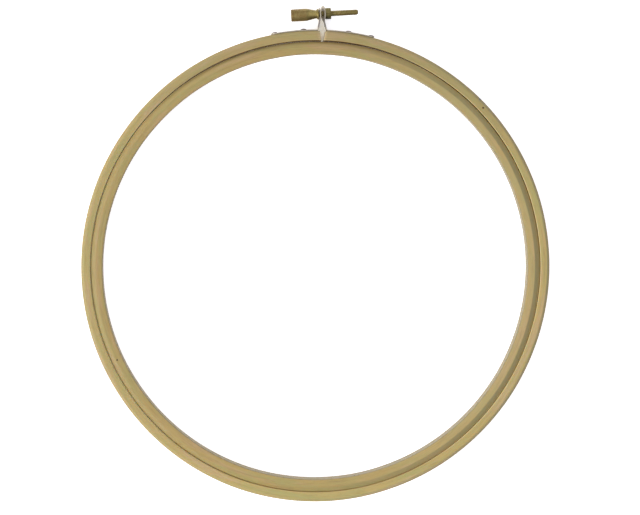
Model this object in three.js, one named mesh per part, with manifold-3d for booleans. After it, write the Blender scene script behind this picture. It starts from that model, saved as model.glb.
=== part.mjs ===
// Embroidery hoop, millimetres, +Z up. It lies flat: both rings share the Z direction,
// the split in the outer ring and the tension screw are at +Y, and the knob points to -X.
import * as THREE from 'three';
import { mergeVertices } from 'three/addons/utils/BufferGeometryUtils.js';
import Module from 'manifold-3d';

const wasm = await Module();
wasm.setup();

// Driving dimensions of the wooden rings. Each wall is a slightly oval cylinder: its half widths
// along X and Y and its centre. The rings are bent from strip, so their thickness is a little uneven.
const ringHeight = 9.5;
const ringSegments = 120;
const outerRing = {
  inside: { x: 121.67, y: 122.16, centreX: 0.02, centreY: 0.025 },
  outside: { x: 126.506, y: 127.394, centreX: 0, centreY: 0 },
  innerEase: 0.4,
  bevel: { width: 1.3, drop: 0.8 },
};
const innerRing = {
  inside: { x: 114.75, y: 115.02, centreX: -0.27, centreY: -0.19 },
  outside: { x: 121.4, y: 121.77, centreX: -0.1, centreY: -0.18 },
  innerEase: 0.7,
  bevel: { width: 2.8, drop: 1.1 },
};
const splitWidthOutside = 3.1;
const splitWidthInside = 1.1;
const splitCentre = -0.15;

// Driving dimensions of the sheet-metal lugs and the tacks that hold them.
const sheetThickness = 0.55;
const lugWidth = 8.5;
const strapGap = 0.1;
const strapLength = 27.9;
const strapCornerRadius = 2.2;
const footRadius = 1.0;
const footRise = 0.4;
const kneeSize = 1.0;
const twistStart = 4.5;
const twistEnd = 8.5;
const tackHeadRadius = 1.6;
const tackHeadHeight = 0.65;
const tackShaftRadius = 0.45;
const tackLength = 3.9;
const tackPointLength = 0.9;
const tackHoleRadius = 0.75;
const tackHoleSpareDepth = 0.3;

// Driving dimensions of the tension screw and its nut, measured along the screw from the split.
const screwHeight = 9.15;
const screwTilt = THREE.MathUtils.degToRad(4.75);
const threadRadius = 1.48;
const screwHoleRadius = 1.8;
const knob = { start: -17.33, shoulder: -8.9, neck: -4.0, radius: 3.33, neckRadius: 2.2, chamfer: 0.35 };
const shoulderRound = { reach: 0.4, drop: 0.12 };
const flange = { start: -3.35, end: -2.5, radius: 2.85, fillet: 0.25, chamfer: 0.15 };
const slot = { width: 0.9, depth: 1.4 };
const screwEnd = { tip: 18.8, shoulder: 18.0, bend: 18.55, bendRadius: 1.15, radius: 0.8 };
const nutSize = { start: 1.1, thickness: 3.05, acrossFlats: 5.5, boreRadius: 1.63, turn: -10, chamfer: 0.35 };

const midHeight = ringHeight / 2;
const ringTop = outerRing.outside.y;

// Each lug: the side it is on, where its ear leaves the ring, bends and ends (x outward from the
// split, y above the ring), how far the ear is twisted, and where its tacks are along the ring.
const leftLug = {
  side: -1,
  foot: { x: 2.5, y: 0.9 },
  knee: { x: 1.7, y: 7.2 },
  top: 12.4,
  kneeLean: -Math.tan(screwTilt),
  twist: THREE.MathUtils.degToRad(-5),
  tacks: { left_near_tack: 10.3, left_far_tack: 26.0 },
};
const rightLug = {
  side: 1,
  foot: { x: 1.66, y: 0.9 },
  knee: { x: 0.15, y: 6.9 },
  top: 13.6,
  kneeLean: Math.tan(screwTilt),
  twist: THREE.MathUtils.degToRad(14),
  tacks: { right_near_tack: 14.0, right_far_tack: 26.4 },
};

const paleWood = { color: 0xb8a473, roughness: 0.62, metalness: 0 };
const steel = { color: 0x85857f, roughness: 0.45, metalness: 0.9 };
const brass = { color: 0x8f8048, roughness: 0.38, metalness: 0.9 };
const darkBrass = { color: 0x6b6238, roughness: 0.42, metalness: 0.9 };

// ---- joining and cutting ----

function toSolid(geometry) {
  const bare = geometry.clone();
  bare.deleteAttribute('normal');
  bare.deleteAttribute('uv');
  const merged = mergeVertices(bare, 1e-4);
  const vertProperties = new Float32Array(merged.attributes.position.array);
  const triVerts = new Uint32Array(merged.index.array);
  return new wasm.Manifold(new wasm.Mesh({ numProp: 3, vertProperties, triVerts }));
}

function toGeometry(solid) {
  const mesh = solid.getMesh();
  const geometry = new THREE.BufferGeometry();
  geometry.setAttribute('position', new THREE.BufferAttribute(mesh.vertProperties, 3));
  geometry.setIndex(new THREE.BufferAttribute(mesh.triVerts, 1));
  geometry.computeVertexNormals();
  return geometry;
}

function cut(geometry, tools) {
  return toGeometry(tools.reduce((solid, tool) => solid.subtract(toSolid(tool)), toSolid(geometry)));
}

function part(name, geometry, finish) {
  const mesh = new THREE.Mesh(geometry, new THREE.MeshStandardMaterial(finish));
  mesh.name = name;
  return mesh;
}

// ---- wooden rings ----

// A ring of rectangular section with bevelled outer edges and eased inner ones, turned about Z and
// standing on z = 0, then pressed slightly oval so that its walls follow the inside and outside ovals.
function ringGeometry({ inside, outside, innerEase, bevel }) {
  const innerRadius = (inside.x + inside.y) / 2;
  const outerRadius = (outside.x + outside.y) / 2;
  const section = new THREE.Shape();
  section.moveTo(innerRadius + innerEase, 0);
  section.lineTo(outerRadius - bevel.width, 0);
  section.lineTo(outerRadius, bevel.drop);
  section.lineTo(outerRadius, ringHeight - bevel.drop);
  section.lineTo(outerRadius - bevel.width, ringHeight);
  section.absarc(innerRadius + innerEase, ringHeight - innerEase, innerEase, Math.PI / 2, Math.PI);
  section.absarc(innerRadius + innerEase, innerEase, innerEase, Math.PI, Math.PI * 1.5);
  const arcSteps = 2;
  const points = section.getPoints(arcSteps);
  const ring = new THREE.LatheGeometry(points, ringSegments).rotateX(Math.PI / 2);
  const place = ring.attributes.position;
  for (let index = 0; index < place.count; index += 1) {
    const radius = Math.hypot(place.getX(index), place.getY(index));
    const share = (radius - innerRadius) / (outerRadius - innerRadius);
    const between = (key) => THREE.MathUtils.lerp(inside[key], outside[key], share);
    const x = between('centreX') + (between('x') * place.getX(index)) / radius;
    const y = between('centreY') + (between('y') * place.getY(index)) / radius;
    place.setXY(index, x, y);
  }
  return ring;
}

// The wedge that is missing from the outer ring at +Y, wider outside than inside.
function splitWedge() {
  const reach = 1;
  const boreTop = outerRing.inside.centreY + outerRing.inside.y;
  const flare = (splitWidthOutside - splitWidthInside) / (ringTop - boreTop) / 2;
  const insideY = boreTop - reach;
  const outsideY = ringTop + reach;
  const insideHalf = splitWidthInside / 2 - flare * reach;
  const outsideHalf = splitWidthOutside / 2 + flare * reach;
  const outline = new THREE.Shape();
  outline.moveTo(-insideHalf, insideY);
  outline.lineTo(insideHalf, insideY);
  outline.lineTo(outsideHalf, outsideY);
  outline.lineTo(-outsideHalf, outsideY);
  outline.closePath();
  const wedge = new THREE.ExtrudeGeometry(outline, { depth: ringHeight + 2 * reach, bevelEnabled: false });
  return wedge.translate(splitCentre, 0, -reach);
}

function outerRingGeometry() {
  const ring = ringGeometry(outerRing);
  const tackHoles = [leftLug, rightLug].flatMap((lug) => Object.values(lug.tacks).map((arc) => {
    const depth = tackLength + tackHoleSpareDepth;
    return placeOnRing(radialCylinder(tackHoleRadius, depth * 2), lug.side * arc, ringTop);
  }));
  return cut(ring, [splitWedge(), ...tackHoles]);
}

// ---- things placed around the outer ring ----

// Moves geometry made at the origin, pointing along +Y, to an arc distance from the split.
function placeOnRing(geometry, arc, radius) {
  return geometry.translate(0, radius, midHeight).rotateZ(-arc / ringTop);
}

function radialCylinder(radius, length) {
  const sides = 8;
  return new THREE.CylinderGeometry(radius, radius, length, sides);
}

// A domed tack: the head stands on the strap and the shaft runs in towards the ring's axis.
function tackGeometry() {
  const domeSteps = 5;
  const profile = [new THREE.Vector2(0, -tackLength), new THREE.Vector2(tackShaftRadius, -tackLength + tackPointLength)];
  profile.push(new THREE.Vector2(tackShaftRadius, 0));
  for (let step = 0; step <= domeSteps; step += 1) {
    const angle = (step / domeSteps) * (Math.PI / 2);
    const radius = step === domeSteps ? 0 : tackHeadRadius * Math.cos(angle);
    profile.push(new THREE.Vector2(radius, tackHeadHeight * Math.sin(angle)));
  }
  const sides = 16;
  return new THREE.LatheGeometry(profile, sides);
}

function tacks(lug) {
  const headBase = ringTop + 2 * strapGap + sheetThickness;
  return Object.entries(lug.tacks).map(([name, arc]) => {
    const geometry = placeOnRing(tackGeometry(), lug.side * arc, headBase);
    return part(name, geometry, steel);
  });
}

// ---- sheet-metal lugs ----

// The middle line of a lug's sheet in plan: along the ring, round the foot and up the ear.
function lugLine({ side, foot, knee, top, kneeLean }) {
  const radius = ringTop + strapGap + sheetThickness / 2;
  const strapAngle = Math.PI / 2 - side * (strapLength / ringTop);
  const footAngle = Math.PI / 2 - side * ((foot.x + footRadius) / ringTop);
  const line = new THREE.Path();
  line.absarc(0, 0, radius, strapAngle, footAngle, side < 0);
  const lean = (foot.x - knee.x) / (knee.y - foot.y);
  const cornerX = foot.x + lean * foot.y;
  line.quadraticCurveTo(side * cornerX, radius, side * foot.x, ringTop + foot.y + footRise);
  line.lineTo(side * (knee.x + lean * kneeSize), ringTop + knee.y - kneeSize);
  const aboveKnee = knee.x - kneeLean * kneeSize;
  line.quadraticCurveTo(side * knee.x, ringTop + knee.y, side * aboveKnee, ringTop + knee.y + kneeSize);
  line.lineTo(side * (knee.x - kneeLean * (top - knee.y)), ringTop + top);
  return line;
}

// Half the sheet's width at a distance from the strap's end and from the ear's round top.
function lugHalfWidth(fromStrapEnd, fromEarTop) {
  const half = lugWidth / 2;
  const tipHalf = 0.6;
  const cornerLeft = Math.max(0, strapCornerRadius - fromStrapEnd);
  const corner = strapCornerRadius - Math.sqrt(strapCornerRadius ** 2 - cornerLeft ** 2);
  const roundLeft = Math.max(0, half - fromEarTop);
  return Math.max(tipHalf, Math.min(half - corner, Math.sqrt(half ** 2 - roundLeft ** 2)));
}

// Sweeps the sheet's rectangular section along the lug's line. The ear turns about the line by the twist.
function lugGeometry(lug) {
  const steps = 84;
  const line = lugLine(lug);
  const length = line.getLength();
  const positions = [];
  for (let step = 0; step <= steps; step += 1) {
    const share = step / steps;
    const point = line.getPointAt(share);
    const tangent = line.getTangentAt(share);
    const normal = new THREE.Vector3(tangent.y, -tangent.x, 0);
    const climb = THREE.MathUtils.smoothstep(point.y - ringTop, twistStart, twistEnd);
    const turned = lug.twist * climb * lug.side;
    const up = new THREE.Vector3(0, 0, 1);
    const across = up.clone().multiplyScalar(Math.cos(turned)).addScaledVector(normal, Math.sin(turned));
    const through = normal.clone().multiplyScalar(Math.cos(turned)).addScaledVector(up, -Math.sin(turned));
    const halfWidth = lugHalfWidth(share * length, (1 - share) * length);
    for (const [w, t] of [[-1, -1], [1, -1], [1, 1], [-1, 1]]) {
      const corner = new THREE.Vector3(point.x, point.y, midHeight);
      corner.addScaledVector(across, w * halfWidth).addScaledVector(through, (t * sheetThickness) / 2);
      positions.push(...corner.toArray());
    }
  }
  const geometry = new THREE.BufferGeometry();
  geometry.setAttribute('position', new THREE.Float32BufferAttribute(positions, 3));
  geometry.setIndex(stripIndices(steps));
  return cut(geometry, [screwHole(), ...strapHoles(lug)]);
}

// Faces of a four-sided strip with steps + 1 rings of four corners, closed at both ends.
function stripIndices(steps) {
  const corners = 4;
  const indices = [0, 2, 1, 0, 3, 2];
  for (let step = 0; step < steps; step += 1) {
    for (let corner = 0; corner < corners; corner += 1) {
      const a = step * corners + corner;
      const b = step * corners + ((corner + 1) % corners);
      indices.push(a, b, b + corners, a, b + corners, a + corners);
    }
  }
  const last = steps * corners;
  indices.push(last, last + 1, last + 2, last, last + 2, last + 3);
  return indices;
}

function strapHoles(lug) {
  const length = 4;
  return Object.values(lug.tacks).map((arc) => (
    placeOnRing(radialCylinder(tackHoleRadius, length), lug.side * arc, ringTop)
  ));
}

function screwHole() {
  const sides = 24;
  const length = 8;
  const hole = new THREE.CylinderGeometry(screwHoleRadius, screwHoleRadius, length, sides);
  return hole.rotateZ(Math.PI / 2 + screwTilt).translate(0, ringTop + screwHeight, midHeight);
}

// ---- tension screw and nut, made along +X from the split ----

function turnedAboutX(profile, sides) {
  const points = profile.map(([along, radius]) => new THREE.Vector2(radius, along));
  return new THREE.LatheGeometry(points, sides).rotateZ(-Math.PI / 2);
}

function screwGeometry() {
  const sides = 32;
  const turned = turnedAboutX([
    [knob.start, 0],
    [knob.start, knob.radius - knob.chamfer],
    [knob.start + knob.chamfer, knob.radius],
    [knob.shoulder - shoulderRound.reach, knob.radius],
    [knob.shoulder + shoulderRound.reach, knob.radius - shoulderRound.drop],
    [knob.neck, knob.neckRadius],
    [flange.start - flange.fillet, knob.neckRadius + flange.fillet],
    [flange.start, flange.radius - flange.chamfer],
    [flange.start + flange.chamfer, flange.radius],
    [flange.end, flange.radius],
    [flange.end, threadRadius],
    [screwEnd.shoulder, threadRadius],
    [screwEnd.bend, screwEnd.bendRadius],
    [screwEnd.tip, screwEnd.radius],
    [screwEnd.tip, 0],
  ], sides);
  const driverSlot = new THREE.BoxGeometry(slot.depth * 2, knob.radius * 3, slot.width);
  return cut(turned, [driverSlot.translate(knob.start, 0, 0)]);
}

// A hexagonal nut: a prism along X with chamfered corners and a clearance bore for the thread.
function nutGeometry() {
  const cornerRadius = nutSize.acrossFlats / Math.sqrt(3);
  const end = nutSize.start + nutSize.thickness;
  const crownRadius = cornerRadius + 0.01;
  const prism = new THREE.CylinderGeometry(cornerRadius, cornerRadius, nutSize.thickness, 6);
  prism.rotateZ(Math.PI / 2).rotateX(Math.PI / 2 + THREE.MathUtils.degToRad(nutSize.turn));
  prism.translate(nutSize.start + nutSize.thickness / 2, 0, 0);
  const turned = turnedAboutX([
    [nutSize.start, 0],
    [nutSize.start, cornerRadius - nutSize.chamfer],
    [nutSize.start + nutSize.chamfer / 2, crownRadius],
    [end - nutSize.chamfer / 2, crownRadius],
    [end, cornerRadius - nutSize.chamfer],
    [end, 0],
  ], 36);
  const bore = new THREE.CylinderGeometry(nutSize.boreRadius, nutSize.boreRadius, nutSize.thickness * 2, 24);
  bore.rotateZ(Math.PI / 2).translate(nutSize.start + nutSize.thickness / 2, 0, 0);
  return toGeometry(toSolid(prism).intersect(toSolid(turned)).subtract(toSolid(bore)));
}

// ---- assembly ----

const screwLine = new THREE.Group();
screwLine.position.set(0, ringTop + screwHeight, midHeight);
screwLine.rotation.z = screwTilt;
screwLine.add(part('tension_screw', screwGeometry(), brass));
screwLine.add(part('nut', nutGeometry(), darkBrass));

const assembly = new THREE.Group();
assembly.add(part('outer_ring', outerRingGeometry(), paleWood));
assembly.add(part('inner_ring', ringGeometry(innerRing), paleWood));
assembly.add(part('left_lug', lugGeometry(leftLug), steel), part('right_lug', lugGeometry(rightLug), steel));
assembly.add(...tacks(leftLug), ...tacks(rightLug), screwLine);

// The origin is the middle of the whole hoop's footprint, on the surface that it lies on.
const box = new THREE.Box3().setFromObject(assembly, true);
assembly.position.set(0, -(box.min.y + box.max.y) / 2, 0);

const hoop = new THREE.Group();
hoop.add(assembly);

export default hoop;
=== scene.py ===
"""Embroidery hoop: two wooden rings, sheet-steel lugs with tacks, and a brass tension screw with its nut."""

import math

import bmesh
import bpy
import numpy as np
from mathutils import Matrix, Vector


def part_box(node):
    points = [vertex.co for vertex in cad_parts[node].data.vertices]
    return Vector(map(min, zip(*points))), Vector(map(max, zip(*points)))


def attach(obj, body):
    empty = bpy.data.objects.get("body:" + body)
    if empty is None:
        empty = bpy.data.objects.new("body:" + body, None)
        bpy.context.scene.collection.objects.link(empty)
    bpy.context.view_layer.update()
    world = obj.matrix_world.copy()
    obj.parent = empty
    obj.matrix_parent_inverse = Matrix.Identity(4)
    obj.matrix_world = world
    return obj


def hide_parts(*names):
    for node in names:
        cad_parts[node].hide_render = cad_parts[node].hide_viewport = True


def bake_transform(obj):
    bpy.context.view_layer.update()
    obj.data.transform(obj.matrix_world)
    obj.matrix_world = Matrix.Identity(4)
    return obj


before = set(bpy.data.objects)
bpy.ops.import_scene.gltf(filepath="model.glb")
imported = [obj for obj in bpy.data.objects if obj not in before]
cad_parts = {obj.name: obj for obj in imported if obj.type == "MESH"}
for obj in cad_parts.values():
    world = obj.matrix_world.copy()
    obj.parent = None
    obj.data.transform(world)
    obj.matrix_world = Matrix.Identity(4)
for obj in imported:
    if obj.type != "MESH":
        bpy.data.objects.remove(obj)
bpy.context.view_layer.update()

MM = 0.001

# Wooden rings, in millimetres from the outer ring's centre. Each wall is a slightly oval cylinder,
# given as its half width in X, its half width in Y, and its centre.
RING_HEIGHT = 9.5
OUTER_RING = {
    "inside": (121.67, 122.16, 0.02, 0.025),
    "outside": (126.506, 127.394, 0.0, 0.0),
    "inner_ease": 0.4,
    "bevel": (1.3, 0.8),
}
INNER_RING = {
    "inside": (114.75, 115.02, -0.27, -0.19),
    "outside": (121.4, 121.77, -0.1, -0.18),
    "inner_ease": 0.7,
    "bevel": (2.8, 1.1),
}
SPLIT_OUTSIDE = 3.1
SPLIT_INSIDE = 1.1
SPLIT_CENTRE = -0.15
RING_TOP = OUTER_RING["outside"][1]
MID_HEIGHT = RING_HEIGHT / 2

# Sheet-steel lugs and their tacks.
SHEET = 0.55
LUG_WIDTH = 8.5
STRAP_GAP = 0.1
STRAP_LENGTH = 27.9
STRAP_CORNER = 2.2
FOOT_RADIUS = 1.0
KNEE_SIZE = 1.0
TWIST_START = 4.5
TWIST_END = 8.5
TACK_HOLE = 0.75
TACK_HEAD_RADIUS = 1.6
TACK_HEAD_HEIGHT = 0.65
TACK_SHAFT = 0.45
TACK_LENGTH = 3.9

# Screw line.
SCREW_HEIGHT = 9.15
SCREW_TILT = math.radians(4.75)
THREAD_RADIUS = 1.48
THREAD_PITCH = 0.5
SCREW_HOLE = 1.8

LUGS = {
    "left_lug": {
        "side": -1,
        "body": "frame",
        "foot": (2.5, 0.9),
        "knee": (1.7, 7.2),
        "top": 12.4,
        "lean": -math.tan(SCREW_TILT),
        "twist": math.radians(-5),
        "tacks": {"left_near_tack": 10.3, "left_far_tack": 26.0},
    },
    "right_lug": {
        "side": 1,
        "body": "right_end",
        "foot": (1.66, 0.9),
        "knee": (0.15, 6.9),
        "top": 13.6,
        "lean": math.tan(SCREW_TILT),
        "twist": math.radians(14),
        "tacks": {"right_near_tack": 14.0, "right_far_tack": 26.4},
    },
}

ring_low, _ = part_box("outer_ring")
RING_CENTRE = Vector((0.0, ring_low.y + RING_TOP * MM, 0.0))


def at(x, y, z):
    """A point given in millimetres from the outer ring's centre, as metres in the frame."""
    return RING_CENTRE + Vector((x, y, z)) * MM


# ---- node helpers ----


def tone(red, green, blue):
    """A colour given as 0 to 255 display numbers, as the linear colour that a node takes."""
    linear = []
    for value in (red, green, blue):
        share = value / 255
        linear.append(share / 12.92 if share <= 0.04045 else ((share + 0.055) / 1.055) ** 2.4)
    return (*linear, 1.0)


class Finish:
    """A material being built: each call adds one node and returns the output to plug in further on."""

    def __init__(self, name):
        self.material = bpy.data.materials.new(name)
        self.material.use_nodes = True
        self.tree = self.material.node_tree
        self.shader = self.tree.nodes["Principled BSDF"]

    def node(self, kind, inputs, **settings):
        made = self.tree.nodes.new(kind)
        for key, value in settings.items():
            setattr(made, key, value)
        for key, value in inputs.items():
            if isinstance(value, bpy.types.NodeSocket):
                self.tree.links.new(value, made.inputs[key])
            else:
                made.inputs[key].default_value = value
        return made

    def attribute(self, name, output="Vector"):
        return self.node("ShaderNodeAttribute", {}, attribute_name=name).outputs[output]

    def place(self):
        return self.node("ShaderNodeTexCoord", {}).outputs["Object"]

    def scaled(self, vector, factors):
        made = self.node("ShaderNodeVectorMath", {0: vector, 1: factors}, operation="MULTIPLY")
        return made.outputs["Vector"]

    def math(self, operation, first, second=0.0):
        return self.node("ShaderNodeMath", {0: first, 1: second}, operation=operation).outputs[0]

    def ramp(self, value, low, high, to_low=0.0, to_high=1.0):
        inputs = {"Value": value, "From Min": low, "From Max": high, "To Min": to_low, "To Max": to_high}
        return self.node("ShaderNodeMapRange", inputs, interpolation_type="SMOOTHSTEP").outputs["Result"]

    def noise(self, vector, scale, detail=2.0, roughness=0.5, w=None):
        inputs = {"Vector": vector, "Scale": scale, "Detail": detail, "Roughness": roughness}
        if w is None:
            return self.node("ShaderNodeTexNoise", inputs).outputs["Fac"]
        inputs["W"] = w
        return self.node("ShaderNodeTexNoise", inputs, noise_dimensions="4D").outputs["Fac"]

    def mix(self, factor, first, second, blend="MIX"):
        inputs = {0: factor, 6: first, 7: second}
        return self.node("ShaderNodeMix", inputs, data_type="RGBA", blend_type=blend).outputs[2]

    def bump(self, height, strength, distance, normal=None):
        inputs = {"Height": height, "Strength": strength, "Distance": distance}
        if normal is not None:
            inputs["Normal"] = normal
        return self.node("ShaderNodeBump", inputs).outputs["Normal"]

    def near(self, vector, centre, reach, soft):
        """1 within reach of a point, falling to 0 over the soft distance."""
        made = self.node("ShaderNodeVectorMath", {0: vector, 1: centre}, operation="DISTANCE")
        return self.ramp(made.outputs["Value"], reach, reach + soft, 1.0, 0.0)

    def finish(self, color, roughness, normal, fixed):
        self.tree.links.new(color, self.shader.inputs["Base Color"])
        self.tree.links.new(roughness, self.shader.inputs["Roughness"])
        self.tree.links.new(normal, self.shader.inputs["Normal"])
        for key, value in fixed.items():
            self.shader.inputs[key].default_value = value
        return self.material


# Heights on a ring, in metres: the painted shade on the lip of the groove, and the painted light and shade on
# the walls below it.
LIP_LOW = (RING_HEIGHT - 1.1) * MM
LIP_HIGH = (RING_HEIGHT - 0.3) * MM
GROOVE_SHADE_LOW = (RING_HEIGHT - 3.6) * MM
GROOVE_SHADE_HIGH = (RING_HEIGHT - 1.2) * MM


def wood(name, shade, top_shade, right_light_share, marks):
    """Pale steam-bent wood with its grain running round the ring.

    The third argument sets the painted shade that darkens the top, and the fourth the painted light that
    makes the right side paler.
    Each mark is a spot on it: centre, reach and colour.
    """
    made = Finish(name)
    grain = made.attribute("grain")
    height = made.attribute("grain_height", "Fac")
    edge = made.attribute("edge", "Fac")
    end = made.attribute("end_grain", "Fac")
    groove = made.attribute("groove_side", "Fac")
    exposed = made.attribute("exposed_side", "Fac")

    def layer(length, width, detail, roughness):
        """Noise stretched along the ring: length and width are the size of its features in metres."""
        vector = made.scaled(grain, (1 / length, 1 / length, 1 / width))
        return made.noise(vector, 1.0, detail, roughness, w=made.math("MULTIPLY", height, 1 / width))

    patches = layer(0.030, 0.0035, 2.0, 0.5)
    warm = layer(0.022, 0.0028, 2.0, 0.55)
    streaks = layer(0.016, 0.0009, 3.0, 0.6)
    fibres = layer(0.006, 0.00022, 3.0, 0.6)
    pores = layer(0.0016, 0.00016, 1.0, 0.5)

    color = made.mix(made.ramp(patches, 0.36, 0.64), shade["green"], shade["gold"])
    color = made.mix(made.ramp(warm, 0.50, 0.68, 0.0, 0.75), color, shade["pink"])
    color = made.mix(made.ramp(streaks, 0.50, 0.70, 0.0, 0.50), color, shade["streak"])
    color = made.mix(made.ramp(fibres, 0.30, 0.52, 0.30, 0.0), color, shade["fibre"])
    color = made.mix(made.ramp(pores, 0.66, 0.74, 0.0, 0.45), color, shade["fibre"])
    color = made.mix(made.math("MULTIPLY", edge, 0.35), color, shade["edge"])
    rest = made.attribute("rest_place")
    across = made.node("ShaderNodeSeparateXYZ", {0: rest})
    to_right, to_top = across.outputs["X"], across.outputs["Y"]
    # Painted shade: darker towards the top and towards the left, as the light falls.
    top_left_shade = made.ramp(to_top, 0.02, 0.11, 0.0, top_shade)
    top_left_shade = made.math("MAXIMUM", top_left_shade, made.ramp(to_right, -0.12, -0.02, 0.22, 0.0))
    color = made.mix(top_left_shade, color, shade["top_left_shade"])
    # Painted light: paler towards the right.
    color = made.mix(made.ramp(to_right, 0.0, 0.10, 0.0, right_light_share), color, shade["right_light"])
    # Painted shade on the bevels, stronger towards the right, where they face away from the light.
    bevel_shade_mask = made.math("MAXIMUM", made.ramp(groove, 0.06, 0.34), made.ramp(exposed, 0.12, 0.40))
    bevel = made.math("MULTIPLY", bevel_shade_mask, made.ramp(to_right, -0.02, 0.11, 0.05, 0.60))
    color = made.mix(bevel, color, shade["bevel"])
    # Painted shade along the lip of the groove, at the upper left and on the right.
    upper_left = made.math("SUBTRACT", to_top, made.math("MULTIPLY", to_right, 0.25))
    low_bevel = made.ramp(height, LIP_LOW, LIP_HIGH, 1.0, 0.0)
    lip_shade = made.math("MULTIPLY", made.ramp(groove, 0.15, 0.34), low_bevel)
    lip_top = made.ramp(upper_left, 0.085, 0.112, 0.0, 0.65)
    lip_right = made.ramp(to_right, 0.0, 0.11, 0.0, 0.30)
    lip_shade = made.math("MULTIPLY", lip_shade, made.math("MAXIMUM", lip_top, lip_right))
    color = made.mix(lip_shade, color, shade["lip_shade"])
    # Painted light and shade on the groove's walls: lighter than the wood, paler on the left, darker at the
    # upper left and at the bottom.
    groove_light_and_shade = made.mix(made.ramp(upper_left, 0.085, 0.112), shade["groove_light_and_shade"], shade["groove_deep_shade"])
    groove_light_and_shade = made.mix(made.ramp(to_right, -0.11, -0.03, 1.0, 0.0), groove_light_and_shade, shade["groove_pale_light"])
    groove_light_and_shade = made.mix(made.ramp(to_top, -0.125, -0.085, 0.35, 0.0), groove_light_and_shade, shade["groove_deep_shade"])
    near_top = made.ramp(height, GROOVE_SHADE_LOW, GROOVE_SHADE_HIGH, 0.15, 1.0)
    groove_shading = made.math("MULTIPLY", made.ramp(groove, 0.42, 0.9, 0.0, 0.95), near_top)
    color = made.mix(groove_shading, color, groove_light_and_shade)
    # Painted shade on the exposed walls.
    color = made.mix(made.ramp(exposed, 0.3, 1.0, 0.0, 0.9), color, shade["wall"])
    color = made.mix(made.math("MULTIPLY", end, 0.85), color, shade["end"])
    for centre, reach, mark_color in marks:
        color = made.mix(made.near(rest, centre, reach * 0.55, reach * 0.75), color, mark_color)

    roughness = made.ramp(fibres, 0.25, 0.75, 0.72, 0.55)
    roughness = made.math("MAXIMUM", roughness, made.ramp(groove, 0.5, 1.0, 0.0, 1.0))
    surface = made.math("ADD", made.math("MULTIPLY", fibres, 0.6), made.math("MULTIPLY", streaks, 0.8))
    surface = made.math("SUBTRACT", surface, made.ramp(pores, 0.64, 0.74, 0.0, 0.5))
    normal = made.bump(surface, 0.55, 0.00006)
    fixed = {"Specular IOR Level": 0.35, "Subsurface Weight": 0.5, "Subsurface Scale": 0.002}
    fixed["Subsurface Radius"] = (1.0, 0.6, 0.3)
    return made.finish(color, roughness, normal, fixed)


def steel(name, light, pale, dark, speckle_and_leg_shade):
    """Thin plated steel, dulled, stained and finely scratched, with painted shade darkening the legs below
    the ears.
    """
    made = Finish(name)
    place = made.place()
    cloud = made.noise(place, 420.0, 3.0, 0.6)
    stain = made.noise(place, 1300.0, 3.0, 0.65)
    speck = made.noise(place, 5200.0, 2.0, 0.6)
    scratches = made.noise(made.scaled(place, (900.0, 900.0, 9000.0)), 1.0, 2.0, 0.6)
    color = made.mix(made.ramp(cloud, 0.35, 0.65), light, pale)
    color = made.mix(made.ramp(stain, 0.52, 0.70, 0.0, 0.6), color, dark)
    color = made.mix(made.ramp(speck, 0.62, 0.72, 0.0, 0.5), color, speckle_and_leg_shade)
    # Painted shade on the legs below the ears, in the same dark tone as the specks.
    above_ring = made.node("ShaderNodeSeparateXYZ", {0: place}).outputs["Y"]
    ring_edge = RING_CENTRE.y + RING_TOP * MM
    leg_foot = made.ramp(above_ring, ring_edge + 0.8 * MM, ring_edge + 2.5 * MM)
    leg_top = made.ramp(above_ring, ring_edge + 5.5 * MM, ring_edge + 8 * MM, 0.65, 0.0)
    leg_shade = made.math("MULTIPLY", leg_foot, leg_top)
    color = made.mix(leg_shade, color, speckle_and_leg_shade)
    roughness = made.ramp(stain, 0.35, 0.70, 0.36, 0.62)
    normal = made.bump(scratches, 0.25, 0.00001)
    normal = made.bump(cloud, 0.30, 0.00005, normal)
    return made.finish(color, roughness, normal, {"Metallic": 0.85})


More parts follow.
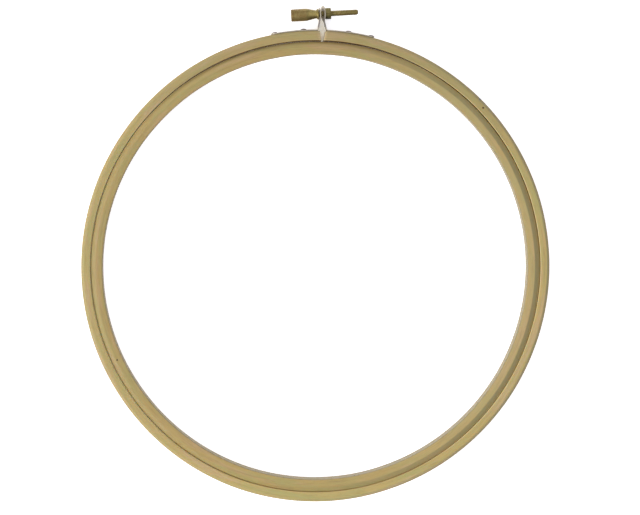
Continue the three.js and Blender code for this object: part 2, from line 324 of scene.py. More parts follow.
def brass(name, bright, dull, tarnish, shadow_and_speck, neck_highlight_tone, hollow_depth, low_shade, low_reach):
    """Turned brass gone olive, with turning marks round it: browner on the knob, with a painted highlight on
    the neck.

    The shadow tone is painted shade, mixed into hollows by hollow_depth, and it also gives dark specks. It is
    also mixed in as painted shade on the side that faces the ring, rising to low_shade at low_reach from the
    axis, on the neck and on all that is past the ears.
    """
    made = Finish(name)
    place = made.attribute("along_screw")
    cloud = made.noise(place, 380.0, 3.0, 0.55)
    patch = made.noise(place, 900.0, 3.0, 0.6)
    speck = made.noise(place, 4200.0, 3.0, 0.6)
    turning = made.noise(made.scaled(place, (11000.0, 120.0, 120.0)), 1.0, 2.0, 0.6)
    hollow = made.attribute("hollow", "Fac")
    color = made.mix(made.ramp(cloud, 0.38, 0.62), dull, bright)
    color = made.mix(made.ramp(patch, 0.50, 0.66, 0.0, 0.8), color, tarnish)
    color = made.mix(made.ramp(speck, 0.60, 0.72, 0.0, 0.55), color, shadow_and_speck)
    color = made.mix(made.math("MULTIPLY", hollow, hollow_depth), color, shadow_and_speck)
    parts = made.node("ShaderNodeSeparateXYZ", {0: place}).outputs
    along, sideways = parts["X"], parts["Y"]
    on_knob = made.ramp(along, -0.0100, -0.0080, 0.35, 0.0)
    color = made.mix(on_knob, color, tarnish)
    neck_start = made.ramp(along, -0.0092, -0.0070)
    neck_end = made.ramp(along, -0.0040, -0.0030, 1.0, 0.0)
    on_neck = made.math("MINIMUM", neck_start, neck_end)
    from_axis = made.math("ABSOLUTE", sideways)
    # Painted highlight along the middle of the neck.
    neck_highlight = made.math("MULTIPLY", on_neck, made.ramp(from_axis, 0.0006, 0.0020, 0.55, 0.0))
    color = made.mix(neck_highlight, color, neck_highlight_tone)
    # Painted shade on the side that faces the ring, on the neck and past the ears.
    past_ears = made.ramp(along, 0.0, 0.001)
    shaded = made.math("MAXIMUM", past_ears, on_neck)
    low_side = made.ramp(sideways, -low_reach, 0.0, low_shade, 0.0)
    color = made.mix(made.math("MULTIPLY", shaded, low_side), color, shadow_and_speck)
    roughness = made.ramp(patch, 0.35, 0.68, 0.46, 0.62)
    normal = made.bump(turning, 0.35, 0.000012)
    normal = made.bump(patch, 0.20, 0.00003, normal)
    return made.finish(color, roughness, normal, {"Metallic": 0.8})


# ---- mesh helpers ----


def add_object(name, mesh, material, body, slot, *replaced):
    thing = bpy.data.objects.new(name, mesh)
    bpy.context.scene.collection.objects.link(thing)
    mesh.materials.append(material)
    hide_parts(*replaced)
    if body:
        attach(thing, body)
    return thing


def mesh_from(name, bm, smooth_angle=math.radians(35)):
    bmesh.ops.recalc_face_normals(bm, faces=bm.faces)
    mesh = bpy.data.meshes.new(name)
    bm.to_mesh(mesh)
    bm.free()
    mesh.shade_smooth()
    mesh.set_sharp_from_angle(angle=smooth_angle)
    return mesh


def break_edges(bm, edges, offset, segments):
    bmesh.ops.bevel(
        bm, geom=edges, offset=offset, segments=segments, profile=0.5, affect="EDGES", clamp_overlap=True
    )


def store(mesh, name, values, kind="FLOAT"):
    """Keeps one value a vertex on the mesh for the material to read."""
    attribute = mesh.attributes.new(name, kind, "POINT")
    key = "vector" if kind == "FLOAT_VECTOR" else "value"
    attribute.data.foreach_set(key, np.asarray(values, np.float32).ravel())


# ---- wooden rings ----

ROUND_STEPS = 6


def wall_radii(ring):
    """The mean radii of a ring's inside and outside walls."""
    return sum(ring["inside"][:2]) / 2, sum(ring["outside"][:2]) / 2


def oval(ring, radius, angle):
    """Where a mean radius and an angle clockwise from +Y come out on a slightly oval ring."""
    inner, outer = wall_radii(ring)
    share = (radius - inner) / (outer - inner)
    across, along, centre_x, centre_y = (a + (b - a) * share for a, b in zip(ring["inside"], ring["outside"]))
    return centre_x + across * math.sin(angle), centre_y + along * math.cos(angle)


def ring_section(ring):
    """Points round a ring's section: radius, height, how far on a rounded edge, and which way it faces."""
    inner, outer = wall_radii(ring)
    bevel_width, bevel_drop = ring["bevel"]
    crease, corner, ease = 2.5, 0.3, ring["inner_ease"]
    corners = [
        (outer - bevel_width, 0.0, crease, 4),
        (outer, bevel_drop, corner, 9),
        (outer, RING_HEIGHT - bevel_drop, corner, 4),
        (outer - bevel_width, RING_HEIGHT, crease, 6),
        (inner, RING_HEIGHT, ease, 9),
        (inner, 0.0, ease, 6),
    ]
    places = [Vector((radius, height)) for radius, height, _, _ in corners]
    rounds = []
    for index, (_, _, size, _) in enumerate(corners):
        here, before, after = places[index], places[index - 1], places[(index + 1) % len(places)]
        back, ahead = (before - here).normalized(), (after - here).normalized()
        half = back.angle(ahead) / 2
        centre = here + (back + ahead).normalized() * (size / math.sin(half))
        first, last = Vector((-back.y, back.x)), Vector((ahead.y, -ahead.x))
        arc = []
        for step in range(ROUND_STEPS + 1):
            outward = first.slerp(last, step / ROUND_STEPS)
            place = centre + outward * size
            on_edge = math.sin(math.pi * step / ROUND_STEPS) * (math.pi - 2 * half) / (math.pi / 2)
            arc.append((place.x, place.y, on_edge, outward.x))
        rounds.append(arc)
    points = []
    for index, arc in enumerate(rounds):
        points.extend(arc)
        start, stop = arc[-1], rounds[(index + 1) % len(rounds)][0]
        steps = corners[index][3]
        for step in range(1, steps):
            share = step / steps
            points.append(tuple(a + (b - a) * share for a, b in zip(start, stop)))
    return points


def hand_waver(angle, phase):
    """The slight unevenness, in millimetres, that sanding leaves round a ring."""
    waves = ((5, 0.030), (9, 0.022), (14, 0.016), (23, 0.010))
    return sum(size * math.sin(count * angle + phase * count) for count, size in waves)


def split_angle(radius, side):
    """The angle from +Y at which the split's cut face meets a radius of the outer ring."""
    bore_top = oval(OUTER_RING, wall_radii(OUTER_RING)[0], 0)[1]
    flare = (SPLIT_OUTSIDE - SPLIT_INSIDE) / (RING_TOP - bore_top) / 2
    half = SPLIT_INSIDE / 2 + flare * (oval(OUTER_RING, radius, 0)[1] - bore_top)
    return math.asin((side * half + SPLIT_CENTRE) / radius)


def sweep(name, ring, rows, closed, phase, groove_outside):
    """Sweeps a ring's section round it.

    Each row holds a function from radius to angle, how far the section is drawn in, and its end grain.
    """
    section = ring_section(ring)
    middle = sum(wall_radii(ring)) / 2
    bm = bmesh.new()
    grain, heights, edges, ends, grooves, exposed, rest = [], [], [], [], [], [], []
    loops = []
    for angle_at, inset, end in rows:
        loop = []
        for radius, height, on_edge, facing in section:
            angle = angle_at(radius)
            drawn = radius + (middle - radius) * inset
            drawn += hand_waver(angle, phase) * 0.8 * (1 - end)
            level = height + (MID_HEIGHT - height) * inset * 0.5
            if height > MID_HEIGHT:
                level -= abs(hand_waver(angle, phase + 1.7)) * (1 - end)
            point = at(*oval(ring, drawn, angle), level)
            loop.append(bm.verts.new(point))
            round_by = (math.sin(angle) * middle * MM, math.cos(angle) * middle * MM)
            grain.append((*round_by, (radius - middle) * MM))
            heights.append(height * MM)
            edges.append(on_edge)
            ends.append(end)
            toward = facing if groove_outside else -facing
            grooves.append(max(0.0, toward))
            exposed.append(max(0.0, -toward))
            rest.append(point)
        loops.append(loop)
    count = len(section)
    last = len(loops) if closed else len(loops) - 1
    for row in range(last):
        here, there = loops[row], loops[(row + 1) % len(loops)]
        for index in range(count):
            after = (index + 1) % count
            bm.faces.new((here[index], here[after], there[after], there[index]))
    if not closed:
        bm.faces.new(loops[0][::-1])
        bm.faces.new(loops[-1])
    mesh = mesh_from(name, bm, math.radians(50))
    store(mesh, "grain", grain, "FLOAT_VECTOR")
    store(mesh, "grain_height", heights)
    store(mesh, "edge", edges)
    store(mesh, "end_grain", ends)
    store(mesh, "groove_side", grooves)
    store(mesh, "exposed_side", exposed)
    store(mesh, "rest_place", rest, "FLOAT_VECTOR")
    return mesh


def half_rows(side, steps):
    """Rows of one half of the outer ring, from its cut face at the split round to the bottom."""
    rows = []
    end_rounding = ((0.0, 0.06, 1.0), (0.05, 0.02, 0.8), (0.16, 0.0, 0.3))
    for back, inset, end in end_rounding:
        step_angle = side * back / RING_TOP
        rows.append((lambda radius, more=step_angle: split_angle(radius, side) + more, inset, end))
    for step in range(1, steps + 1):
        share = step / steps

        def angle_at(radius, share=share):
            start = split_angle(radius, side) + side * 0.16 / RING_TOP
            return start + (side * math.pi - start) * share

        rows.append((angle_at, 0.0, 0.0))
    return rows


def spot(radius, degrees, height, centre=(0.0, 0.0)):
    """A point on a ring at a radius and an angle counted anticlockwise from +X."""
    angle = math.radians(degrees)
    return at(centre[0] + radius * math.cos(angle), centre[1] + radius * math.sin(angle), height)


outer_shade = {
    "green": tone(182, 172, 112),
    "gold": tone(194, 172, 112),
    "pink": tone(200, 174, 132),
    "streak": tone(168, 148, 98),
    "fibre": tone(146, 124, 78),
    "edge": tone(176, 164, 122),
    "groove_light_and_shade": tone(232, 208, 148),
    "groove_deep_shade": tone(142, 96, 26),
    "groove_pale_light": tone(252, 240, 194),
    "bevel": tone(146, 140, 110),
    "lip_shade": tone(122, 98, 52),
    "top_left_shade": tone(150, 132, 94),
    "right_light": tone(204, 184, 130),
    "wall": tone(156, 142, 110),
    "end": tone(226, 212, 178),
}
inner_shade = {
    "green": tone(174, 162, 104),
    "gold": tone(184, 160, 102),
    "pink": tone(190, 162, 118),
    "streak": tone(158, 136, 88),
    "fibre": tone(136, 114, 70),
    "edge": tone(172, 158, 116),
    "groove_light_and_shade": tone(226, 202, 142),
    "groove_deep_shade": tone(138, 92, 24),
    "groove_pale_light": tone(255, 240, 190),
    "bevel": tone(134, 130, 96),
    "lip_shade": tone(116, 96, 50),
    "top_left_shade": tone(144, 126, 86),
    "right_light": tone(206, 186, 138),
    "wall": tone(142, 130, 102),
    "end": tone(220, 206, 172),
}
knot = tone(58, 42, 18)
blue_mark = tone(96, 110, 122)
outer_marks = [
    (spot(124.5, 45.4, RING_HEIGHT), 0.55 * MM, knot),
    (spot(126.9, 47.5, 8.7), 0.8 * MM, blue_mark),
]
inner_marks = [
    (spot(118.3, 206.4, RING_HEIGHT), 0.50 * MM, knot),
    (spot(115.4, -78.0, 8.6), 0.55 * MM, knot),
    (spot(115.4, -76.8, 8.6), 0.55 * MM, knot),
]
outer_wood = wood("outer_ring_wood", outer_shade, 0.42, 0.0, outer_marks)
inner_wood = wood("inner_ring_wood", inner_shade, 0.18, 0.30, inner_marks)

HALF_STEPS = 260
left_mesh = sweep("outer_ring_left", OUTER_RING, half_rows(-1, HALF_STEPS), False, 0.7, False)
right_mesh = sweep("outer_ring_right", OUTER_RING, half_rows(1, HALF_STEPS), False, 0.7, False)
closed_rows = []
for step in range(2 * HALF_STEPS):
    turned = 2 * math.pi * step / (2 * HALF_STEPS)
    closed_rows.append((lambda radius, angle=turned: angle, 0.0, 0.0))
inner_mesh = sweep("inner_ring_hoop", INNER_RING, closed_rows, True, 2.1, True)

add_object("outer_ring_left", left_mesh, outer_wood, "frame", "ring_wood", "outer_ring")
right_half = add_object("outer_ring_right", right_mesh, outer_wood, None, "ring_wood", "outer_ring")
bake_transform(right_half)
add_object("inner_ring_hoop", inner_mesh, inner_wood, "inner", "ring_wood", "inner_ring")


# ---- sheet-steel lugs ----


def quadratic(first, control, last, steps=24):
    points = []
    for step in range(steps + 1):
        t = step / steps
        points.append(first * (1 - t) ** 2 + control * 2 * t * (1 - t) + last * t**2)
    return points


def lug_line(side, foot, knee, top, lean):
    """The middle line of a lug's sheet in plan: along the ring, round the foot and up the ear."""
    radius = RING_TOP + STRAP_GAP + SHEET / 2
    strap_angle = STRAP_LENGTH / RING_TOP
    foot_angle = (foot[0] + FOOT_RADIUS) / RING_TOP
    points = []
    for step in range(61):
        angle = strap_angle + (foot_angle - strap_angle) * step / 60
        points.append(Vector((side * radius * math.sin(angle), radius * math.cos(angle))))
    slope = (foot[0] - knee[0]) / (knee[1] - foot[1])
    corner = Vector((side * (foot[0] + slope * foot[1]), radius))
    above_foot = Vector((side * foot[0], RING_TOP + foot[1] + FOOT_RADIUS * 0.4))
    below_knee = Vector((side * (knee[0] + slope * KNEE_SIZE), RING_TOP + knee[1] - KNEE_SIZE))
    knee_point = Vector((side * knee[0], RING_TOP + knee[1]))
    above_knee = Vector((side * (knee[0] - lean * KNEE_SIZE), RING_TOP + knee[1] + KNEE_SIZE))
    points += quadratic(points[-1], corner, above_foot)[1:]
    points += quadratic(below_knee, knee_point, above_knee)
    points.append(Vector((side * (knee[0] - lean * (top - knee[1])), RING_TOP + top)))
    return points


class Along:
    """A line of points measured by its length."""

    def __init__(self, points):
        self.points = np.array(points, float)
        steps = np.linalg.norm(np.diff(self.points, axis=0), axis=1)
        self.lengths = np.concatenate([[0.0], np.cumsum(steps)])
        self.length = float(self.lengths[-1])

    def at(self, distance):
        return Vector([float(np.interp(distance, self.lengths, self.points[:, k])) for k in (0, 1)])

    def tangent(self, distance):
        reach = 0.08
        before = self.at(max(0.0, distance - reach))
        after = self.at(min(self.length, distance + reach))
        return (after - before).normalized()


def smooth_share(value, low, high):
    share = min(1.0, max(0.0, (value - low) / (high - low)))
    return share * share * (3 - 2 * share)


def circle(centre, radius, sides):
    turns = [2 * math.pi * side / sides for side in range(sides)]
    return [(centre[0] + radius * math.cos(a), centre[1] + radius * math.sin(a)) for a in turns]


def lug_outline(length):
    """The flat sheet's outline: rounded corners at the strap's end and a round top to the ear."""
    half = LUG_WIDTH / 2
    points = []
    for step in range(9):
        angle = math.radians(180 + 90 * step / 8)
        across = -half + STRAP_CORNER * (1 + math.sin(angle))
        points.append((STRAP_CORNER + STRAP_CORNER * math.cos(angle), across))
    for step in range(33):
        angle = math.radians(-90 + 180 * step / 32)
        points.append((length - half + half * math.cos(angle), half * math.sin(angle)))
    for step in range(9):
        angle = math.radians(90 + 90 * step / 8)
        across = half - STRAP_CORNER * (1 - math.sin(angle))
        points.append((STRAP_CORNER + STRAP_CORNER * math.cos(angle), across))
    return points


def build_lug(name, side, body, foot, knee, top, lean, twist, tacks):
    """Cuts a lug and its holes out of flat sheet, breaks its edges, bends it and twists its ear."""
    line = Along(lug_line(side, foot, knee, top, lean))
    samples = np.linspace(line.length * 0.6, line.length, 2000)
    miss = []
    for distance in samples:
        point = line.at(distance)
        miss.append(abs(point.y - RING_TOP - SCREW_HEIGHT - math.tan(SCREW_TILT) * point.x))
    hole_at = float(samples[int(np.argmin(miss))])
    loops = [lug_outline(line.length), circle((hole_at, 0), SCREW_HOLE, 40)]
    strap_angle = STRAP_LENGTH / RING_TOP
    for arc in tacks.values():
        along = (strap_angle - arc / RING_TOP) * (RING_TOP + STRAP_GAP + SHEET / 2)
        loops.append(circle((along, 0), TACK_HOLE, 20))
    bm = bmesh.new()
    edges = []
    for loop in loops:
        verts = [bm.verts.new((s, w, -SHEET / 2)) for s, w in loop]
        for index, vert in enumerate(verts):
            edges.append(bm.edges.new((vert, verts[(index + 1) % len(verts)])))
    bmesh.ops.triangle_fill(bm, use_beauty=True, use_dissolve=False, edges=edges)
    raised = bmesh.ops.extrude_face_region(bm, geom=bm.faces[:])
    lifted = [v for v in raised["geom"] if isinstance(v, bmesh.types.BMVert)]
    bmesh.ops.translate(bm, verts=lifted, vec=(0, 0, SHEET))
    bmesh.ops.recalc_face_normals(bm, faces=bm.faces)
    sharp = [e for e in bm.edges if len(e.link_faces) == 2 and e.calc_face_angle() > math.radians(60)]
    break_edges(bm, sharp, 0.07, 3)
    cuts = np.concatenate([np.arange(0.8, 22.0, 0.8), np.arange(22.0, line.length - 0.05, 0.2)])
    for distance in cuts:
        everything = bm.verts[:] + bm.edges[:] + bm.faces[:]
        bmesh.ops.bisect_plane(bm, geom=everything, dist=1e-4, plane_co=(distance, 0, 0), plane_no=(1, 0, 0))
    bmesh.ops.remove_doubles(bm, verts=bm.verts, dist=1e-4)
    up = Vector((0, 0, 1))
    for vert in bm.verts:
        distance, across_by, through_by = vert.co
        point = line.at(distance)
        tangent = line.tangent(distance)
        normal = Vector((tangent.y, -tangent.x, 0))
        turned = twist * smooth_share(point.y - RING_TOP, TWIST_START, TWIST_END) * side
        across = up * math.cos(turned) + normal * math.sin(turned)
        through = normal * math.cos(turned) - up * math.sin(turned)
        middle = Vector((point.x, point.y, MID_HEIGHT))
        place = middle + across * across_by + through * through_by
        vert.co = at(*place)
    mesh = mesh_from(name, bm)
    add_object(name + "_sheet", mesh, lug_steel, body, "lug_steel", name)
    head_base = RING_TOP + 2 * STRAP_GAP + SHEET
    for tack, arc in tacks.items():
        build_tack(tack, side * arc / RING_TOP, head_base, body)


# ---- turned pieces ----


def lathe(profile, sides):
    """Turns a profile of (along, radius) about X. Points at radius 0 become single points."""
    bm = bmesh.new()
    rings = []
    for along, radius in profile:
        if radius == 0:
            rings.append([bm.verts.new((along, 0, 0))])
            continue
        ring = []
        for k in range(sides):
            turn = 2 * math.pi * k / sides
            ring.append(bm.verts.new((along, radius * math.cos(turn), radius * math.sin(turn))))
        rings.append(ring)
    for first, second in zip(rings, rings[1:]):
        for k in range(sides):
            after = (k + 1) % sides
            corners = [first[k % len(first)], first[after % len(first)]]
            corners += [second[after % len(second)], second[k % len(second)]]
            unique = list(dict.fromkeys(corners))
            if len(unique) > 2:
                bm.faces.new(unique)
    bmesh.ops.recalc_face_normals(bm, faces=bm.faces)
    return bm


def build_tack(name, angle, head_base, body):
    """A round-headed tack, its head on the strap and its shaft in the wood."""
    profile = [(-TACK_LENGTH, 0.0), (-TACK_LENGTH + 0.9, TACK_SHAFT), (0.0, TACK_SHAFT)]
    rim = 0.1
    profile += [(0.0, TACK_HEAD_RADIUS - rim), (0.03, TACK_HEAD_RADIUS - 0.03), (rim, TACK_HEAD_RADIUS)]
    steps = 9
    for step in range(1, steps + 1):
        turn = math.pi / 2 * step / steps
        radius = TACK_HEAD_RADIUS * math.cos(turn) if step < steps else 0.0
        profile.append((rim + (TACK_HEAD_HEIGHT - rim) * math.sin(turn), radius))
    bm = lathe(profile, 40)
    out = Vector((math.sin(angle), math.cos(angle), 0))
    side = Vector((math.cos(angle), -math.sin(angle), 0))
    for vert in bm.verts:
        along, across, up = vert.co
        place = out * (head_base + along) + side * across + Vector((0, 0, MID_HEIGHT + up))
        vert.co = at(*place)
    mesh = mesh_from(name, bm)
    add_object(name + "_head", mesh, tack_steel, body, "tack_steel", name)


lug_steel = steel(
    "lug_steel_finish", tone(190, 181, 164), tone(204, 196, 176), tone(164, 144, 134), tone(84, 80, 90)
)
tack_steel = steel(
    "tack_steel_finish", tone(126, 114, 114), tone(140, 131, 128), tone(106, 91, 94), tone(76, 65, 68)
)
for lug_name, facts in LUGS.items():
    build_lug(lug_name, **facts)


def on_screw_line(bm):
    """Moves a piece made along X at the origin onto the screw's line, and returns its made-at places."""
    turn = Matrix.Rotation(SCREW_TILT, 3, "Z")
    made_at = []
    for vert in bm.verts:
        made_at.append(tuple(vert.co * MM))
        vert.co = at(*(turn @ vert.co + Vector((0, RING_TOP + SCREW_HEIGHT, MID_HEIGHT))))
    return made_at


def boolean(bm, tool, operation):
    """Joins or cuts one bmesh with another and returns the result as a new bmesh."""
    meshes = []
    for part in (bm, tool):
        mesh = bpy.data.meshes.new("boolean_part")
        part.to_mesh(mesh)
        part.free()
        thing = bpy.data.objects.new("boolean_part", mesh)
        bpy.context.scene.collection.objects.link(thing)
        meshes.append(thing)
    modifier = meshes[0].modifiers.new("boolean", "BOOLEAN")
    modifier.operation = operation
    modifier.solver = "EXACT"
    modifier.object = meshes[1]
    graph = bpy.context.evaluated_depsgraph_get()
    result = bmesh.new()
    result.from_mesh(bpy.data.meshes.new_from_object(meshes[0].evaluated_get(graph)))
    for thing in meshes:
        bpy.data.objects.remove(thing)
    return result


# The screw, in millimetres along its axis from the ring's middle, and the radii it is turned to.
KNOB_START = -17.33
KNOB_SHOULDER = -8.9
KNOB_NECK = -4.0
KNOB_RADIUS = 3.33
KNOB_EASE = 0.35
TAPER_START = KNOB_SHOULDER - 0.6
NECK_RADIUS = 2.2
FLANGE_START = -3.35
FLANGE_END = -2.5
FLANGE_RADIUS = 2.85
SLOT_WIDTH = 0.9
SLOT_DEPTH = 1.4
END_SHADE = 2.4
TIP = 18.8
TIP_SHOULDER = 18.0
TIP_RADIUS = 0.8
CORE_RADIUS = 1.38


def box_bmesh(low, high):
    bm = bmesh.new()
    bmesh.ops.create_cube(bm, size=1.0)
    for vert in bm.verts:
        vert.co = Vector([low[k] + (high[k] - low[k]) * (vert.co[k] + 0.5) for k in range(3)])
    return bm


def rounded(first, last, steps=5):
    """A quarter round between two profile points, bulging outwards."""
    points = []
    for step in range(steps + 1):
        turn = math.pi / 2 * step / steps
        along = last[0] + (first[0] - last[0]) * math.cos(turn)
        radius = first[1] + (last[1] - first[1]) * math.sin(turn)
        points.append((along, radius))
    return points


def screw_profile():
    profile = [(KNOB_START, 0.0)]
    profile += rounded((KNOB_START, KNOB_RADIUS - KNOB_EASE), (KNOB_START + KNOB_EASE, KNOB_RADIUS))
    turn_steps = 12
    for step in range(1, turn_steps):
        share = step / turn_steps
        along = KNOB_START + KNOB_EASE + (TAPER_START - KNOB_START - KNOB_EASE) * share
        profile.append((along, KNOB_RADIUS))
    taper_steps = 16
    for step in range(taper_steps + 1):
        share = step / taper_steps
        along = TAPER_START + (KNOB_NECK - TAPER_START) * share
        straight = KNOB_RADIUS + (NECK_RADIUS - KNOB_RADIUS) * max(0.0, share - 0.1) / 0.9
        profile.append((along, straight - 0.03 * math.sin(math.pi * share)))
    profile += [(FLANGE_START - 0.30, NECK_RADIUS + 0.02), (FLANGE_START - 0.12, NECK_RADIUS + 0.25)]
    profile += [(FLANGE_START, FLANGE_RADIUS - 0.16), (FLANGE_START + 0.06, FLANGE_RADIUS - 0.05)]
    profile += [(FLANGE_START + 0.16, FLANGE_RADIUS), (FLANGE_END - 0.14, FLANGE_RADIUS)]
    profile += [(FLANGE_END - 0.04, FLANGE_RADIUS - 0.05), (FLANGE_END, FLANGE_RADIUS - 0.16)]
    profile += [(FLANGE_END, CORE_RADIUS)]
    core_steps = 20
    for step in range(1, core_steps):
        profile.append((FLANGE_END + (TIP_SHOULDER - FLANGE_END) * step / core_steps, CORE_RADIUS))
    profile += [(TIP_SHOULDER, CORE_RADIUS), (TIP - 0.25, TIP_RADIUS + 0.3), (TIP - 0.06, TIP_RADIUS + 0.08)]
    profile += [(TIP, TIP_RADIUS - 0.05), (TIP, 0.0)]
    return profile


def thread_ridge():
    """A helical ridge of triangular section, fading into the core at both ends."""
    bm = bmesh.new()
    per_turn = 28
    start, stop = FLANGE_END + 0.15, TIP_SHOULDER + 0.35
    turns = (stop - start) / THREAD_PITCH
    count = int(turns * per_turn)
    root = CORE_RADIUS - 0.06
    half_root, half_crest = 0.24, 0.12
    rings = []
    for step in range(count + 1):
        turn = 2 * math.pi * step / per_turn
        along = start + THREAD_PITCH * step / per_turn
        fade = min(1.0, (along - start) / 0.5, max(0.0, (stop - along) / 0.7))
        crest = CORE_RADIUS + (THREAD_RADIUS - CORE_RADIUS) * fade
        section = ((-half_root, root), (-half_crest, crest), (half_crest, crest), (half_root, root))
        ring = []
        for offset, radius in section:
            ring.append(bm.verts.new((along + offset, radius * math.cos(turn), radius * math.sin(turn))))
        rings.append(ring)
    for here, there in zip(rings, rings[1:]):
        for k in range(4):
            bm.faces.new((here[k], here[(k + 1) % 4], there[(k + 1) % 4], there[k]))
    bm.faces.new(rings[0])
    bm.faces.new(rings[-1][::-1])
    bmesh.ops.recalc_face_normals(bm, faces=bm.faces)
    return bm


def build_screw():
    body = lathe(screw_profile(), 72)
    driver_slot = box_bmesh(
        (KNOB_START - 1, -KNOB_RADIUS * 1.5, -SLOT_WIDTH / 2),
        (KNOB_START + SLOT_DEPTH, KNOB_RADIUS * 1.5, SLOT_WIDTH / 2),
    )
    slotted = boolean(body, driver_slot, "DIFFERENCE")
    sharp = []
    for edge in slotted.edges:
        ends = [v.co for v in edge.verts]
        in_slot = all(abs(c.z) < SLOT_WIDTH / 2 + 0.01 and c.x < KNOB_START + SLOT_DEPTH + 0.01 for c in ends)
        if in_slot and len(edge.link_faces) == 2 and edge.calc_face_angle() > math.radians(30):
            sharp.append(edge)
    break_edges(slotted, sharp, 0.07, 2)
    ridge = thread_ridge()
    ridge_mesh = bpy.data.meshes.new("ridge")
    ridge.to_mesh(ridge_mesh)
    ridge.free()
    slotted.from_mesh(ridge_mesh)
    made_at = on_screw_line(slotted)
    # Painted shade in the thread, the slot, at both ends and in the crease before the flange.
    hollow = []
    for x, y, z in made_at:
        radius = math.hypot(y, z)
        in_thread = x > FLANGE_END * MM and radius < (CORE_RADIUS + 0.05) * MM
        in_slot = x < (KNOB_START + SLOT_DEPTH) * MM and abs(z) < SLOT_WIDTH / 2 * MM * 1.02
        near_flange = smooth_share(x / MM, FLANGE_START - 0.9, FLANGE_START - 0.2)
        near_flange *= 1 - smooth_share(radius / MM, NECK_RADIUS, NECK_RADIUS + 0.45)
        at_ends = 1 - smooth_share(x / MM, KNOB_START + 0.1, KNOB_START + 0.7)
        at_ends = max(at_ends, smooth_share(x / MM, TIP_SHOULDER - 0.2, TIP))
        amount = max(at_ends * END_SHADE, near_flange if x < FLANGE_START * MM else 0.0)
        hollow.append(1.0 if in_thread or in_slot else amount)
    mesh = mesh_from("tension_screw", slotted, math.radians(38))
    store(mesh, "along_screw", made_at, "FLOAT_VECTOR")
    store(mesh, "hollow", hollow)
    add_object("tension_screw_turned", mesh, screw_brass, "screw", "screw_brass", "tension_screw")


# The nut, along the same axis.
NUT_START = 1.1
NUT_THICK = 3.05
NUT_FLATS = 5.5
NUT_BORE = 1.63
NUT_TURN = math.radians(-10)


def build_nut():
    corner = NUT_FLATS / math.sqrt(3)
    end = NUT_START + NUT_THICK
    prism = bmesh.new()
    rings = []
    for along in (NUT_START, end):
        ring = []
        for k in range(6):
            turn = math.radians(60 * k + 30) + NUT_TURN
            ring.append(prism.verts.new((along, corner * math.cos(turn), corner * math.sin(turn))))
        rings.append(ring)
    for k in range(6):
        after = (k + 1) % 6
        prism.faces.new((rings[0][k], rings[0][after], rings[1][after], rings[1][k]))
    prism.faces.new(rings[0])
    prism.faces.new(rings[1][::-1])
    bmesh.ops.recalc_face_normals(prism, faces=prism.faces)
    bevelled = lathe([
        (NUT_START, 0.0), (NUT_START, corner - 0.42), (NUT_START + 0.22, corner + 0.02),
        (end - 0.22, corner + 0.02), (end, corner - 0.42), (end, 0.0),
    ], 96)
    nut = boolean(prism, bevelled, "INTERSECT")
    bore = lathe([
        (NUT_START - 1, 0.0), (NUT_START - 1, NUT_BORE + 1.25), (NUT_START + 0.25, NUT_BORE),
        (end - 0.25, NUT_BORE), (end + 1, NUT_BORE + 1.25), (end + 1, 0.0),
    ], 64)
    nut = boolean(nut, bore, "DIFFERENCE")
    sharp = []
    for edge in nut.edges:
        if len(edge.link_faces) == 2 and edge.calc_face_angle() > math.radians(25):
            sharp.append(edge)
    break_edges(nut, sharp, 0.06, 2)
    made_at = on_screw_line(nut)
    # Painted shade in the bore.
    hollow = [1.0 if math.hypot(y, z) < (NUT_BORE + 0.1) * MM else 0.0 for _, y, z in made_at]
    mesh = mesh_from("nut", nut, math.radians(30))
    store(mesh, "along_screw", made_at, "FLOAT_VECTOR")
    store(mesh, "hollow", hollow)
    add_object("nut_hexagon", mesh, nut_brass, "right_end", "nut_brass", "nut")


screw_brass = brass(
    "screw_brass_finish",
    tone(162, 149, 96),
    tone(143, 129, 78),
    tone(134, 104, 64),
    tone(92, 76, 42),
    neck_highlight_tone=tone(206, 188, 118),
    hollow_depth=0.25,
    low_shade=0.6,
    low_reach=1.7 * MM,
)
nut_brass = brass(
    "nut_brass_finish",
    tone(150, 140, 84),
    tone(128, 118, 72),
    tone(118, 98, 66),
    tone(40, 42, 26),
    neck_highlight_tone=tone(150, 140, 84),
    hollow_depth=0.6,
    low_shade=0.85,
    low_reach=3.0 * MM,
)
build_screw()
build_nut()

# ---- floor, light and camera ----


def color_ramp(tree, value, stops):
    """Adds a colour ramp with two or more stops of (position, colour) and returns its colour output."""
    made = tree.nodes.new("ShaderNodeValToRGB")
    ends = made.color_ramp.elements
    ends[0].position, ends[0].color = stops[0][0], (*stops[0][1], 1)
    ends[1].position, ends[1].color = stops[-1][0], (*stops[-1][1], 1)
    for position, color in stops[1:-1]:
        made.color_ramp.elements.new(position).color = (*color, 1)
    tree.links.new(value, made.inputs["Fac"])
    return made.outputs["Color"]


floor_mesh = bpy.data.meshes.new("floor")
floor_half = 4.0
floor_level = -0.00004
floor_corners = []
for x_side, y_side in ((-1, -1), (1, -1), (1, 1), (-1, 1)):
    floor_corners.append((x_side * floor_half, y_side * floor_half, floor_level))
floor_mesh.from_pydata(floor_corners, [], [(0, 1, 2, 3)])
floor = bpy.data.objects.new("floor", floor_mesh)
bpy.context.scene.collection.objects.link(floor)
floor_material = bpy.data.materials.new("white_light_table")
floor_material.use_nodes = True
floor_shader = floor_material.node_tree.nodes["Principled BSDF"]
floor_shader.inputs["Roughness"].default_value = 0.9
glow = floor_material.node_tree
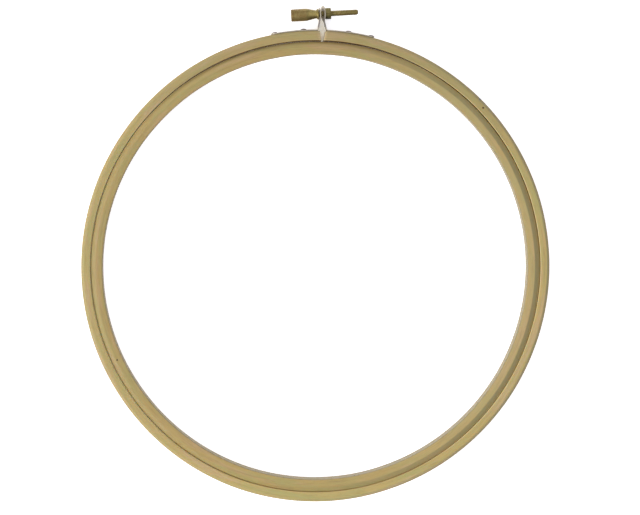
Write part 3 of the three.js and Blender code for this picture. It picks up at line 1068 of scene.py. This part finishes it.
# The floor glows evenly where it is open. Where ambient occlusion finds it hidden by the hoop, the glow fades
# and the floor turns brown, beige and grey: painted shade under the rings, with a painted warm bounce of
# light in the split.
openness = glow.nodes.new("ShaderNodeAmbientOcclusion")
openness.samples = 16
openness.inputs["Distance"].default_value = 0.02
glow_where_open = glow.nodes.new("ShaderNodeMapRange")
glow_where_open.interpolation_type = "SMOOTHSTEP"
glow_where_open.inputs["From Min"].default_value = 0.04
glow_where_open.inputs["From Max"].default_value = 0.14
glow_where_open.inputs["To Max"].default_value = 0.75
glow.links.new(openness.outputs["AO"], glow_where_open.inputs["Value"])
shade_under_hoop_stops = (
    (0.03, (0.30, 0.20, 0.08)),
    (0.15, (0.84, 0.78, 0.66)),
    (0.25, (0.80, 0.80, 0.86)),
    (0.42, (0.90, 0.90, 0.92)),
)
shade_under_hoop = color_ramp(glow, openness.outputs["AO"], shade_under_hoop_stops)
glow_bounce_stops = ((0.15, (1.0, 0.92, 0.74)), (0.25, (0.90, 0.92, 1.0)), (0.42, (0.97, 0.96, 1.0)))
glow_with_bounce = color_ramp(glow, openness.outputs["AO"], glow_bounce_stops)
glow.links.new(shade_under_hoop, floor_shader.inputs["Base Color"])
glow.links.new(glow_with_bounce, floor_shader.inputs["Emission Color"])
glow.links.new(glow_where_open.outputs["Result"], floor_shader.inputs["Emission Strength"])
floor_mesh.materials.append(floor_material)

world = bpy.data.worlds.new("studio")
bpy.context.scene.world = world
world.use_nodes = True
sky = world.node_tree
direction = sky.nodes.new("ShaderNodeTexCoord")
toward_window = sky.nodes.new("ShaderNodeVectorMath")
toward_window.operation = "DOT_PRODUCT"
toward_window.inputs[1].default_value = (-0.42, 0.22, 0.84)
sky_stops = ((0.0, (0.25, 0.25, 0.27)), (0.85, (0.84, 0.84, 0.86)))
fade = color_ramp(sky, toward_window.outputs["Value"], sky_stops)
sky.links.new(direction.outputs["Generated"], toward_window.inputs[0])
sky.links.new(fade, sky.nodes["Background"].inputs["Color"])
sky.nodes["Background"].inputs["Strength"].default_value = 1.0


def area_light(name, place, size, watts, color):
    data = bpy.data.lights.new(name, "AREA")
    data.shape = "DISK"
    data.size = size
    data.energy = watts
    data.color = color
    lamp = bpy.data.objects.new(name, data)
    bpy.context.scene.collection.objects.link(lamp)
    lamp.location = place
    aim = RING_CENTRE - Vector(place)
    lamp.rotation_euler = aim.to_track_quat("-Z", "Y").to_euler()


area_light("key", (-1.60, -0.45, 1.45), 0.9, 30.0, (1.0, 0.985, 0.95))

camera_data = bpy.data.cameras.new("camera")
camera_data.sensor_width = 36.0
camera_data.lens = 124.15
camera = bpy.data.objects.new("camera", camera_data)
bpy.context.scene.collection.objects.link(camera)
bpy.context.scene.camera = camera
camera_place = at(-45.52, 79.8, RING_HEIGHT + 1187.0)
camera_target = at(1.83, 5.62, RING_HEIGHT)
roll = math.radians(1.64)
view_line = (camera_target - camera_place).normalized()
picture_up = Vector((-math.sin(roll), math.cos(roll), 0))
right = view_line.cross(picture_up).normalized()
up = right.cross(view_line).normalized()
turn = Matrix((right, up, -view_line)).transposed()
camera.matrix_world = Matrix.Translation(camera_place) @ turn.to_4x4()

bpy.context.scene.view_settings.view_transform = "Standard"
